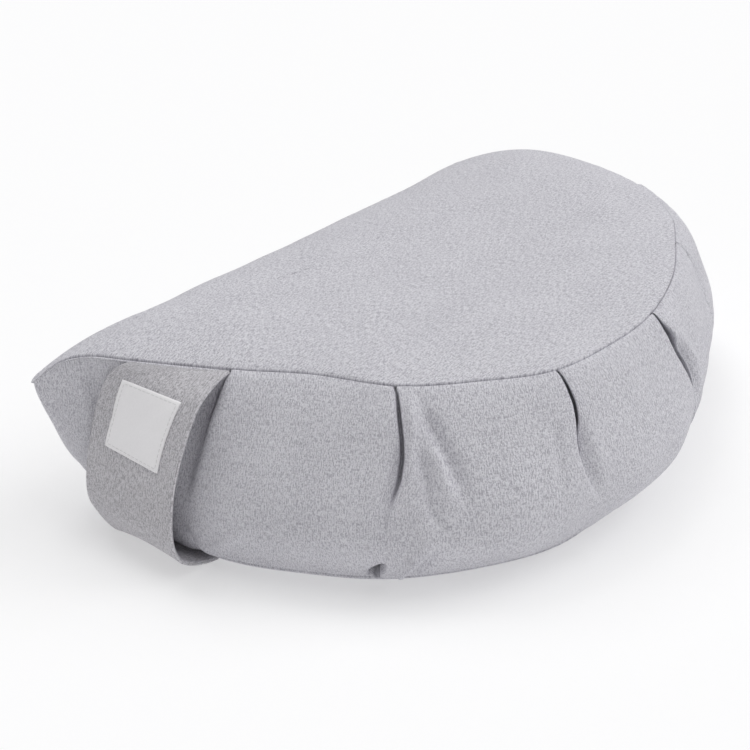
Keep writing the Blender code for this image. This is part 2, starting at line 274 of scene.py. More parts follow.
def pleatShift(position, down, tall):
    # how far the pleats push the cloth out and along the seam, for every column at these depths
    outward = np.zeros_like(position)
    sideways = np.zeros_like(position)
    up = tall - down
    for name, pleat in pleats.items():
        place, height, aside, share = pleatSections[pleat["section"]].T
        across = aroundSeam(position - pleatPlace[name]) * pleat["lap"] / mm
        depth, rise = down / mm, up / mm
        slitTop = pleat["top"] * (0.5 + 0.5 * easeStep(0, 9, depth)) * (1 - easeStep(pleat["slitFull"], pleat["slitEnd"], depth))
        slitLow = pleat["low"] * (0.6 + 0.4 * easeStep(0, 4, rise)) * (1 - easeStep(3, 17, rise))
        valley = pleat["valleyDepth"] * easeStep(pleat["valleyFrom"], pleat["valleyFrom"] + 16, depth) * (1 - easeStep(pleat["valleyEnd"] - 30, pleat["valleyEnd"], depth))
        valley = valley + 1.6 * pleat["low"] * easeStep(2, 10, rise) * (1 - easeStep(12, 36, rise))
        opening = 0.3 + (pleat["opening"] - 0.3) * easeStep(1, pleat["openBy"], depth)
        opening = np.where(rise < 20, 1.5 * pleat["low"], opening)
        slit = slitTop + slitLow
        level = np.interp(across, place, height)
        shift = np.interp(across, place, aside) + opening * np.interp(across, place, share)
        shift = shift + pleat["lean"] * np.maximum(0, -level - 0.9)
        outward += slit * level * mm
        sideways += pleat["lap"] * slit * shift * mm
        bank = pleat["step"] * easeStep(2, 14, depth) * (1 - easeStep(pleat["slitEnd"] - 6, pleat["slitEnd"] + 24, depth))
        outward += bank * mm * easeStep(0.3, 2.2, across) * np.exp(-((np.maximum(across, 0) / 17) ** 2))
        middle = 0.5 * pleat["valleyWidth"]
        outward -= valley * mm * np.where(across < middle, hump(across, middle, 0.55 * pleat["valleyWidth"]), hump(across, middle, 1.25 * pleat["valleyWidth"]))
    return outward, sideways


def creaseDepth(position, down):
    total = np.zeros_like(position)
    for crease in softCreases:
        line = np.array(crease["line"], float) * mm
        nearest = np.full(position.shape, 1.0)
        along = np.zeros(position.shape)
        for i, (start, end) in enumerate(zip(line[:-1], line[1:])):
            run = end - start
            dx, dy = aroundSeam(position - start[0]), down - start[1]
            share = np.clip((dx * run[0] + dy * run[1]) / (run @ run), 0, 1)
            distance = np.hypot(dx - share * run[0], dy - share * run[1])
            along = np.where(distance < nearest, (i + share) / (len(line) - 1), along)
            nearest = np.minimum(distance, nearest)
        fade = easeStep(0, 0.25, along) * (1 - easeStep(0.7, 1, along)) * 0.85 + 0.15
        total -= crease["depth"] * mm * fade * np.exp(-((nearest / (crease["width"] * mm)) ** 2))
    for place in swellings:
        (along, low), (wide, high) = place["at"], place["reach"]
        total += place["out"] * mm * hump(aroundSeam(position - along * mm), 0, wide * mm) * hump(down, low * mm, high * mm)
    return total


def unevenness(points, size, seed):
    """Smooth noise at each point, about -1 to 1."""
    return np.array([noise.noise(Vector(point) / size + Vector((seed, 2.3 * seed, 0))) for point in points]) * 2


def gridPiece(name, columns, rows):
    """A flat grid of columns by rows of faces, and the index of each vertex by row and column."""
    deselectAll()
    bpy.ops.mesh.primitive_grid_add(x_subdivisions=columns, y_subdivisions=rows, size=1, location=(0, 0, 0))
    piece = bpy.context.active_object
    piece.name = name
    piece.data.name = name
    flat = np.empty(len(piece.data.vertices) * 3)
    piece.data.vertices.foreach_get("co", flat)
    flat = flat.reshape(-1, 3)
    order = np.lexsort((np.round(flat[:, 0], 6), -np.round(flat[:, 1], 6)))
    return piece, order.reshape(rows + 1, columns + 1)


def moveVertices(piece, order, points):
    flat = np.empty((len(piece.data.vertices), 3))
    flat[order.ravel()] = points.reshape(-1, 3)
    piece.data.vertices.foreach_set("co", flat.ravel())
    piece.data.update()


def layClothMap(piece, order, places, rowMap=None):
    """Puts each vertex's place on the cloth, in metres, in the piece's own map."""
    byVertex = np.empty((len(piece.data.vertices), 2))
    byVertex[order.ravel()] = places.reshape(-1, 2)
    cloth = piece.data.uv_layers.new(name="clothMap") if "clothMap" not in piece.data.uv_layers else piece.data.uv_layers["clothMap"]
    loops = np.empty(len(piece.data.loops), int)
    piece.data.loops.foreach_get("vertex_index", loops)
    chosen = byVertex[loops]
    if rowMap is not None:
        rowOf = np.empty(len(piece.data.vertices), int)
        rowOf[order.ravel()] = np.repeat(np.arange(order.shape[0]), order.shape[1])
        second = np.empty((len(piece.data.vertices), 2))
        second[order.ravel()] = rowMap["places"].reshape(-1, 2)
        face = np.empty(len(piece.data.polygons), int)
        piece.data.polygons.foreach_get("loop_start", face)
        firstRow = np.minimum.reduceat(rowOf[loops], face)
        isPanel = np.repeat((firstRow < rowMap["topRows"]) | (firstRow >= rowMap["bottomFrom"]), 4)
        chosen = np.where(isPanel[:, None], second[loops], chosen)
    cloth.data.foreach_set("uv", chosen.ravel())
    for other in [layer for layer in piece.data.uv_layers if layer.name != "clothMap"]:
        piece.data.uv_layers.remove(other)
    piece.data.uv_layers["clothMap"].active_render = True


def closeAndTurn(piece, mergeWithin):
    """Merges the doubles, fills what is open and turns the faces outwards."""
    selectOnly(piece)
    bpy.ops.object.mode_set(mode="EDIT")
    bpy.ops.mesh.select_all(action="SELECT")
    bpy.ops.mesh.remove_doubles(threshold=mergeWithin)
    bpy.ops.mesh.select_all(action="DESELECT")
    bpy.ops.mesh.select_mode(type="EDGE")
    bpy.ops.mesh.select_non_manifold(extend=False, use_wire=False, use_boundary=True, use_multi_face=False, use_non_contiguous=False, use_verts=False)
    bpy.ops.mesh.edge_face_add()
    bpy.ops.mesh.select_all(action="SELECT")
    bpy.ops.mesh.normals_make_consistent(inside=False)
    bpy.ops.mesh.select_mode(type="VERT")
    bpy.ops.object.mode_set(mode="OBJECT")
    # signed volume: each corner's height times its face's level area, below zero when the faces look inwards
    if sum(face.center.z * face.normal.z * face.area for face in piece.data.polygons) < 0:
        bpy.ops.object.mode_set(mode="EDIT")
        bpy.ops.mesh.select_all(action="SELECT")
        bpy.ops.mesh.flip_normals()
        bpy.ops.object.mode_set(mode="OBJECT")
    bpy.ops.object.shade_smooth()


# ---- the filled cushion ----


def buildCushion():
    values = cushionValues
    position = seamColumns()
    table = betweenStations(np.interp(position, stationLength, stationPlace))
    out = outwardAt(position)
    seam = table[:, :3]
    count = len(position)
    level = np.column_stack([out, np.zeros(count)])
    upward = np.array([0, 0, 1.0])
    rows, downs = [], []
    _, reach = panelRing(seam, 0, values["crownHeight"], values["panelRoundness"])
    edgeOnly = 10 * mm
    for u in np.linspace(1, 0, 18) ** 1.15:
        inward = edgeOnly + (0.97 * reach - edgeOnly) * u
        rows.append(panelRing(seam, inward, values["crownHeight"], values["panelRoundness"])[0])
    for inward in (7.4, 5.2, 3.6, 2.4):
        rows.append(panelRing(seam, inward * mm, values["crownHeight"], values["panelRoundness"])[0])
    # the panel's rolled edge, the crevice of the seam and the side panel's rolled edge, (out, up) in millimetres
    for o, z in ((-1.4, 0.34), (-0.8, 0.16), (-0.40, -0.3), (-0.38, -1.1), (-0.75, -2.6)):
        rows.append(seam + level * o * mm + upward * z * mm)
    topRows = len(rows) - 1
    for o, z in ((0.0, -1.5), (0.4, -1.12), (0.95, -1.15), (1.7, -1.6)):
        rows.append(seam + level * o * mm + upward * z * mm)
    sideFrom = len(rows)
    fractions = np.concatenate([[0.022, 0.031, 0.042, 0.055], np.linspace(0.07, 0.94, 60), [0.952, 0.963, 0.973, 0.981]])
    tall = table[:, 2] - values["bottomSeamHeight"]
    placeAt = [position] * sideFrom
    for v in fractions:
        moved = followPleats(position, v * tall)
        placeAt.append(moved)
        rows.append(sideRow(v, betweenStations(np.interp(moved % seamWhole, stationLength, stationPlace)), outwardAt(moved % seamWhole)))
    sideTo = len(rows)
    movedLow = followPleats(position, tall)
    lowTable = betweenStations(np.interp(movedLow % seamWhole, stationLength, stationPlace))
    low = np.column_stack([lowTable[:, 3:5], np.full(count, values["bottomSeamHeight"])])
    level = np.column_stack([outwardAt(movedLow % seamWhole), np.zeros(count)])
    for o, z in ((0.9, 1.1), (0.5, 0.8), (-0.2, 0.9), (-0.7, 0.8)):
        rows.append(low + level * o * mm + upward * z * mm)
    bottomFrom = len(rows) - 1
    for o, z in ((-0.5, 0.1), (-0.1, -0.5), (-0.5, -1.0)):
        rows.append(low + level * o * mm + upward * z * mm)
    for inward, height in ((1.4, 3.2), (3.0, 2.0), (5.5, 0.8), (8.5, 0.15), (12, 0.0), (30, 0.0), (60, 0.0)):
        ring, _ = panelRing(low, inward * mm, 0, 1.0)
        ring[:, 2] = height * mm
        rows.append(ring)
    points = np.array(rows)
    rowCount = len(points)
    placeAt += [movedLow] * (rowCount - len(placeAt))
    placeAt = np.array(placeAt)
    print("cushion grid", rowCount, "rows by", count, "columns")

    # the strap draws the bottom seam up at its strap-side end
    lift = values["cornerLift"] * hump(movedLow, values["cornerPlace"], values["cornerReach"])
    lift = lift + values["strapLift"] * easeStep(30 * mm, 50 * mm, movedLow) * (1 - easeStep(100 * mm, 116 * mm, movedLow))
    for i in range(sideTo - 22, rowCount):
        if i < sideTo:
            share = easeStep(0.62, 1.0, fractions[i - sideFrom])
        else:
            share = 1 - easeStep(0, 1, (i - bottomFrom) / 10) if i > bottomFrom else 1
        points[i, :, 2] += lift * share

    # the bottom seam turns the tip beside the strap in an even curve
    even = points
    for _ in range(24):
        even = (np.roll(even, 1, axis=1) + 2 * even + np.roll(even, -1, axis=1)) / 4
    nearTip = hump(aroundSeam(position), 6 * mm, 24 * mm)
    for i in range(sideFrom, rowCount):
        share = easeStep(0.6, 0.95, fractions[i - sideFrom]) if i < sideTo else 1
        points[i] += (even[i] - points[i]) * (share * nearTip)[:, None]

    # plain cloth places, measured before the folds are pushed in
    steps = np.linalg.norm(np.diff(points, axis=0), axis=2)
    travelled = np.vstack([np.zeros(count), np.cumsum(steps, axis=0)])
    travelled -= travelled[topRows]
    sidePlaces = np.stack([placeAt, -travelled], axis=2)
    panelPlaces = points[:, :, 1::-1] * 1.0

    # directions for the pushes
    around = np.roll(points, -1, axis=1) - np.roll(points, 1, axis=1)
    around /= np.linalg.norm(around, axis=2)[:, :, None]
    downward = np.gradient(points, axis=0)
    normal = np.cross(downward, around)
    normal /= np.linalg.norm(normal, axis=2)[:, :, None] + 1e-12
    outTest = np.sum(normal[sideFrom + 20] * level, axis=1).mean()
    normal *= np.sign(outTest)

    # pleats, soft creases and the puff between the pleats
    drops = np.concatenate([[0.2, 0.5, 0.9, 1.6], fractions * 109]) * mm
    for i in range(topRows, bottomFrom + 1):
        k = min(max(i - topRows - 1, 0), len(drops) - 1)
        down = np.full(count, drops[k]) if i < sideFrom else np.minimum(fractions[min(i - sideFrom, len(fractions) - 1)], 1) * tall
        if i >= sideTo:
            down = tall * 0.995
        push, slide = pleatShift(position, down, tall)
        push = push + creaseDepth(placeAt[i], down)
        if i < sideFrom:
            push, slide = push * 0.55, slide * 0.6
        if i >= sideTo:
            push, slide = push * 0.7, slide * 0.6
        points[i] += normal[i] * push[:, None] + around[i] * slide[:, None]

    places = sorted(pleatPlace.values())
    puff = np.zeros(count)
    for start, end in zip([places[0] - 0.075] + places[:-1] + [places[-1]], places + [places[-1] + 0.085]):
        inside = (position > start) & (position < end)
        puff += np.where(inside, np.sin(np.pi * np.clip((position - start) / (end - start), 0, 1)) ** 2, 0)
    for i in range(sideFrom, sideTo):
        v = fractions[i - sideFrom]
        points[i] += normal[i] * (values["puffBetweenFolds"] * puff * math.sin(math.pi * v) ** 0.7 - 0.4 * mm * math.sin(math.pi * v))[:, None]

    # the stitching draws the cloth in a little here and there along both seams
    pucker = np.array([noise.noise(Vector((place * 140, 0.3, 0))) + 0.6 * noise.noise(Vector((place * 330, 7.3, 0))) for place in position])
    pucker *= easeStep(0, 0.02, position) * (1 - easeStep(seamWhole - 0.02, seamWhole, position))
    for i in range(rowCount):
        if i < topRows:
            away = np.linalg.norm(points[i] - points[topRows], axis=1)
            points[i] += normal[i] * (values["seamPucker"] * pucker * np.exp(-(((away - 3 * mm) / (4.5 * mm)) ** 2)))[:, None]
        elif sideFrom <= i < sideTo:
            away = np.minimum(fractions[i - sideFrom] * tall, (1 - fractions[i - sideFrom]) * tall)
            points[i] += normal[i] * (1.6 * values["seamPucker"] * np.roll(pucker, 3) * np.exp(-(((away - 4 * mm) / (7 * mm)) ** 2)))[:, None]

    # the filling is never quite even
    uneven = np.zeros((rowCount, count))
    for i in range(0, bottomFrom):
        uneven[i] = unevenness(points[i], 0.075, 3.0) + 0.35 * unevenness(points[i], 0.03, 9.0)
    calm = np.ones(rowCount)
    calm[topRows - 6 : sideFrom + 2] = 0.0
    calm[sideTo - 6 :] = 0.0
    calm = np.convolve(np.pad(calm, 4, "edge"), np.ones(9) / 9, "valid")
    calm[topRows - 4 : sideFrom] = 0
    calm[sideTo:] = 0
    top = values["crownHeight"]
    points += normal * (values["softUnevenness"] * uneven * calm[:, None])[:, :, None]
    points[:, :, 2] = np.maximum(points[:, :, 2], 0.0)

    # inside a fold the cloth's places follow its real surface, down into the slit from both sides
    for name, pleat in pleats.items():
        place, height = pleatSections[pleat["section"]].T[:2]
        across = aroundSeam(position - pleatPlace[name]) * pleat["lap"] / mm
        within = np.flatnonzero(np.abs(across) < 16)
        first, last = within[0], within[-1]
        deepest = first + int(np.argmin(np.interp(across[within], place, height)))
        run = np.linalg.norm(np.diff(points[:, first : last + 1], axis=1), axis=2)
        run = np.concatenate([np.zeros((rowCount, 1)), np.cumsum(run, axis=1)], axis=1)
        before = sidePlaces[:, first, :1] + run
        after = sidePlaces[:, last, :1] - (run[:, -1:] - run)
        sidePlaces[:, first : deepest + 1, 0] = before[:, : deepest + 1 - first]
        sidePlaces[:, deepest + 1 : last + 1, 0] = after[:, deepest + 1 - first :]

    points = np.concatenate([points, points[:, :1]], axis=1) - centreShift
    sidePlaces = np.concatenate([sidePlaces, sidePlaces[:, :1] + np.array([seamWhole, 0])], axis=1)
    panelPlaces = np.concatenate([panelPlaces, panelPlaces[:, :1]], axis=1)
    piece, order = gridPiece("filled_cushion", count, rowCount - 1)
    moveVertices(piece, order, points)
    layClothMap(piece, order, sidePlaces, {"places": panelPlaces, "topRows": topRows, "bottomFrom": bottomFrom})
    closeAndTurn(piece, 0.00002)
    return piece


cushion = buildCushion()
print("cushion", len(cushion.data.polygons), "faces")

# ---- the carry strap ----

strapValues = {
    "thickness": 2.5 * mm,
    "rowsBetween": 12,
    "columnsAcross": 26,
    "foldedEdge": 0.35 * mm,
    "wave": 0.35 * mm,
    "flat": (0.066, 0.135),
}

# Lines across the strap from the top seam to the bottom seam, in millimetres: middle, direction across, half width.
strapLines = [
    (-182.0, 43.1, 112.3, 0.50, -0.86, 0.00, 27.5),
    (-190.3, 45.2, 110.0, 0.36, -0.93, -0.02, 28.8),
    (-200.3, 46.8, 102.5, 0.16, -0.98, -0.04, 31.2),
    (-209.0, 49.0, 82.8, 0.06, -1.00, -0.06, 33.0),
    (-217.0, 49.0, 62.3, 0.06, -1.00, -0.06, 33.0),
    (-221.5, 47.5, 44.6, 0.06, -1.00, -0.07, 33.2),
    (-221.5, 46.8, 29.5, 0.06, -1.00, -0.08, 33.2),
    (-216.5, 46.5, 17.5, 0.06, -1.00, -0.09, 32.0),
    (-209.5, 46.5, 9.2, 0.10, -0.99, -0.05, 31.5),
    (-201.5, 45.5, 4.0, 0.18, -0.98, -0.01, 31.0),
    (-192.0, 43.6, 2.0, 0.21, -0.98, 0.00, 29.5),
]


def strapFrames(steps):
    table = np.array(strapLines, float)
    across = table[:, 3:6] / np.linalg.norm(table[:, 3:6], axis=1)[:, None] * table[:, 6:7]
    table = np.hstack([table[:, :3], across]) * mm
    last = len(table) - 1
    rows = []
    for place in np.linspace(0, last, last * steps + 1):
        first = min(int(place), last - 1)
        share = place - first
        before, start, end, after = (table[min(max(first + k, 0), last)] for k in (-1, 0, 1, 2))
        rows.append(0.5 * (2 * start + (end - before) * share + (2 * before - 5 * start + 4 * end - after) * share**2 + (3 * start - before - 3 * end + after) * share**3))
    rows = np.array(rows)
    middle, half = rows[:, :3], rows[:, 3:]
    down = np.gradient(middle, axis=0)
    down /= np.linalg.norm(down, axis=1)[:, None]
    normal = np.cross(down, half)
    normal /= np.linalg.norm(normal, axis=1)[:, None]
    length = np.concatenate([[0], np.cumsum(np.linalg.norm(np.diff(middle, axis=0), axis=1))])
    return middle, half, normal, length


sideSeam = np.linspace(0, 0.2, 401)
sideTable = betweenStations(np.interp(sideSeam, stationLength, stationPlace))
sideOut = outwardAt(sideSeam)


def keptClear(points, distance):
    """Moves points level and outwards to stay this far off the cushion's side."""
    cleared = []
    for point, gap in zip(points, distance):
        apart = point[:2] - sideTable[:, :2]
        beyond = np.einsum("ij,ij->i", apart, sideOut)
        i = np.argmin(np.linalg.norm(apart - sideOut * beyond[:, None], axis=1))
        v = np.clip((sideTable[i, 2] - point[2]) / (sideTable[i, 2] - cushionValues["bottomSeamHeight"]), 0, 1)
        edge = sideTable[i, :2] * (1 - v) + sideTable[i, 3:5] * v + sideOut[i] * sideTable[i, 5] * swell(v)
        needed = (edge - sideTable[i, :2]) @ sideOut[i] + gap
        if beyond[i] < needed and point[2] > 5.2 * mm:
            point = np.append(point[:2] + sideOut[i] * (needed - beyond[i]), point[2])
        cleared.append(point)
    return np.array(cleared)


def buildStrap():
    values = strapValues
    middle, half, normal, length = strapFrames(values["rowsBetween"])
    across = np.linspace(-1, 1, values["columnsAcross"] + 1)
    thick = values["thickness"] / 2
    edge = 1 - 0.55 * thick / (33 * mm)
    # round the flat tube once: outer face, far edge, inner face, near edge
    outline = [(a * edge, thick) for a in across]
    turn = np.linspace(90, -90, 7)[1:-1]
    outline += [(edge + 0.9 * thick / (33 * mm) * math.cos(math.radians(t)), thick * math.sin(math.radians(t))) for t in turn]
    outline += [(a * edge, -thick) for a in across[::-1]]
    outline += [(-edge - 0.9 * thick / (33 * mm) * math.cos(math.radians(t)), -thick * math.sin(math.radians(t))) for t in turn]
    outline = np.array(outline)
    count = len(outline)
    rows = []
    whole = length[-1]
    for m, h, n, place in zip(middle, half, normal, length):
        wave = values["wave"] * math.sin(place * 58 + 0.6)
        edgeLift = values["foldedEdge"] * np.abs(outline[:, 0]) ** 6
        ripple = values["wave"] * 0.6 * np.sin(outline[:, 0] * 2.2 + place * 45)
        height = outline[:, 1] + edgeLift + (wave + ripple) * (np.abs(outline[:, 0]) ** 2)
        rows.append(m + h * outline[:, :1] + n * height[:, None])
    points = np.array(rows)
    atEnd = np.minimum(length, whole - length)
    for i in range(len(points)):
        gap = 0.2 * mm + 1.7 * mm * easeStep(0, 14 * mm, atEnd[i])
        outer = outline[:, 1] >= 0
        points[i] = keptClear(points[i], np.where(outer, gap + 2 * thick, gap))
    places = np.stack([np.broadcast_to(outline[:, 0] * 33 * mm + np.where(outline[:, 1] < 0, 0.2, 0), (len(points), count)), np.broadcast_to(-length[:, None], (len(points), count))], axis=2)
    points = np.concatenate([points, points[:, :1]], axis=1) - centreShift
    places = np.concatenate([places, places[:, :1]], axis=1)
    piece, order = gridPiece("strap_band", count, len(points) - 1)
    moveVertices(piece, order, points)
    layClothMap(piece, order, places)
    closeAndTurn(piece, 0.00001)
    return piece


strap = buildStrap()
print("strap", len(strap.data.polygons), "faces")

# ---- the small bare label ----

labelValues = {
    "side": 41 * mm,
    "start": 21.2 * mm,
    "thickness": 0.7 * mm,
    "squares": 40,
    "stitchPitch": 3.1 * mm,
    "stitchInset": 1.9 * mm,
}


labelFrames = strapFrames(24)


def strapSurface(place, share):
    """Point on the strap's outer face and its outward direction; place is down the strap, share is across in metres."""
    middle, half, normal, length = labelFrames
    m = np.array([np.interp(place, length, middle[:, k]) for k in range(3)])
    h = np.array([np.interp(place, length, half[:, k]) for k in range(3)])
    n = np.array([np.interp(place, length, normal[:, k]) for k in range(3)])
    h = h / np.linalg.norm(h)
    start = Vector(m + h * share + n * 0.012 - centreShift)
    hit, where, facing, _ = strap.ray_cast(start, Vector(-n))
    if not hit:
        hit, where, facing, _ = strap.closest_point_on_mesh(start)
    facing = np.array(facing)
    return np.array(where), facing if facing @ n > 0 else -facing


def buildLabel():
    values = labelValues
    squares = values["squares"]
    spots = np.linspace(-1, 1, squares + 1)
    surface = np.zeros((squares + 1, squares + 1, 3))
    facing = np.zeros_like(surface)
    bpy.context.view_layer.update()
    for r, down in enumerate(spots):
        for c, across in enumerate(spots):
            place = values["start"] + values["side"] * (down + 1) / 2
            surface[r, c], facing[r, c] = strapSurface(place, across * values["side"] / 2)
    rim = np.minimum(1 - np.abs(spots)[:, None], 1 - np.abs(spots)[None, :]) * values["side"] / 2
    puff = 0.25 * mm * easeStep(0, 3 * mm, rim) + 0.12 * mm * hump(rim, 0.9 * mm, 0.8 * mm)
    ripple = 0.10 * mm * np.sin(spots[None, :] * 9 + 1.0) * np.sin(spots[:, None] * 7)
    top = surface + facing * (values["thickness"] + puff + ripple)[:, :, None]
    # rounded rim: the outermost ring drops to the strap
    rows = [surface + facing * 0.1 * mm]
    piece, order = gridPiece("label_patch", squares + 2, squares + 2)
    full = np.zeros((squares + 3, squares + 3, 3))
    full[1:-1, 1:-1] = top
    seat = surface + facing * 0.12 * mm
    full[0, 1:-1], full[-1, 1:-1] = seat[0], seat[-1]
    full[1:-1, 0], full[1:-1, -1] = seat[:, 0], seat[:, -1]
    full[0, 0], full[0, -1], full[-1, 0], full[-1, -1] = seat[0, 0], seat[0, -1], seat[-1, 0], seat[-1, -1]
    flatSpots = np.concatenate([[-1.02], spots, [1.02]]) * values["side"] / 2
    places = np.stack(np.meshgrid(flatSpots, -flatSpots), axis=2)
    moveVertices(piece, order, full)
    layClothMap(piece, order, places)
    selectOnly(piece)
    bpy.ops.object.mode_set(mode="EDIT")
    bpy.ops.mesh.select_all(action="SELECT")
    bpy.ops.mesh.remove_doubles(threshold=0.00001)
    bpy.ops.object.mode_set(mode="OBJECT")
    backing = piece.modifiers.new("backing", "SOLIDIFY")
    backing.thickness = 0.1 * mm
    backing.offset = -1
    bpy.ops.object.modifier_apply(modifier="backing")
    bpy.ops.object.mode_set(mode="EDIT")
    bpy.ops.mesh.select_all(action="SELECT")
    bpy.ops.mesh.normals_make_consistent(inside=False)
    bpy.ops.object.mode_set(mode="OBJECT")
    bpy.ops.object.shade_smooth()
    return piece, top, facing


label, labelTop, labelFacing = buildLabel()
print("label", len(label.data.polygons), "faces")


def buildStitches():
    """Short threads round the label, each one a bent cylinder."""
    values = labelValues
    spots = np.linspace(-1, 1, values["squares"] + 1) * values["side"] / 2

    def at(across, down):
        c = np.interp(across, spots, np.arange(len(spots)))
        r = np.interp(down, spots, np.arange(len(spots)))
        c0, r0 = min(int(c), len(spots) - 2), min(int(r), len(spots) - 2)
        fc, fr = c - c0, r - r0
        point = (labelTop[r0, c0] * (1 - fc) + labelTop[r0, c0 + 1] * fc) * (1 - fr) + (labelTop[r0 + 1, c0] * (1 - fc) + labelTop[r0 + 1, c0 + 1] * fc) * fr
        return point, labelFacing[r0, c0]

    inset = values["side"] / 2 - values["stitchInset"]
    number = int(2 * inset / values["stitchPitch"])
    ends = []
    for side in range(4):
        for k in range(number):
            a = -inset + 2 * inset * (k + 0.16) / number
            b = -inset + 2 * inset * (k + 0.84) / number
            turn = {0: lambda t: (t, -inset), 1: lambda t: (inset, t), 2: lambda t: (-t, inset), 3: lambda t: (-inset, -t)}[side]
            ends.append((turn(a), turn(b)))
    threads = []
    for (x0, y0), (x1, y1) in ends:
        (start, up), (end, _) = at(x0, y0), at(x1, y1)
        run = end - start
        size = np.linalg.norm(run)
        deselectAll()
        bpy.ops.mesh.primitive_cylinder_add(vertices=6, radius=0.17 * mm, depth=1, location=(0, 0, 0))
        thread = bpy.context.active_object
        bpy.ops.object.mode_set(mode="EDIT")
        bpy.ops.mesh.select_all(action="SELECT")
        bpy.ops.mesh.bisect(plane_co=(0, 0, 0.2), plane_no=(0, 0, 1))
        bpy.ops.mesh.select_all(action="SELECT")
        bpy.ops.mesh.bisect(plane_co=(0, 0, -0.2), plane_no=(0, 0, 1))
        bpy.ops.object.mode_set(mode="OBJECT")
        along, side = run / size, np.cross(up, run / size)
        for vertex in thread.data.vertices:
            x, y, z = vertex.co
            lift = 0.16 * mm * (1 - (2 * abs(z)) ** 2) - 0.05 * mm
            vertex.co = Vector(start + along * (z + 0.5) * size + side * x + up * (y + lift))
        threads.append(thread)
    deselectAll()
    for thread in threads:
        thread.select_set(True)
    bpy.context.view_layer.objects.active = threads[0]
    bpy.ops.object.join()
    piece = bpy.context.active_object
    piece.name = "label_stitches"
    bpy.ops.object.shade_smooth()
    return piece


stitches = buildStitches()
print("stitches", len(stitches.data.polygons), "faces")

# ---- materials ----

clothValues = {
    "light": (0.76, 0.755, 0.80, 1),
    "dark": (0.44, 0.43, 0.48, 1),
    "strapLight": (0.70, 0.685, 0.72, 1),
    "strapDark": (0.38, 0.37, 0.395, 1),
    "labelLight": (0.95, 0.94, 0.955, 1),
    "labelDark": (0.84, 0.83, 0.85, 1),
    "threadPitch": 0.62 * mm,
}


def node(tree, kind, place, **settings):
    made = tree.nodes.new(kind)
    made.location = place
    for name, value in settings.items():
        setattr(made, name, value)
    return made


def mathNode(tree, operation, a, b, place, clamp=False):
    made = node(tree, "ShaderNodeMath", place, operation=operation, use_clamp=clamp)
    for socket, value in zip(made.inputs, (a, b)):
        if value is None:
            continue
        if isinstance(value, (int, float)):
            socket.default_value = value
        else:
            tree.links.new(value, socket)
    return made.outputs[0]


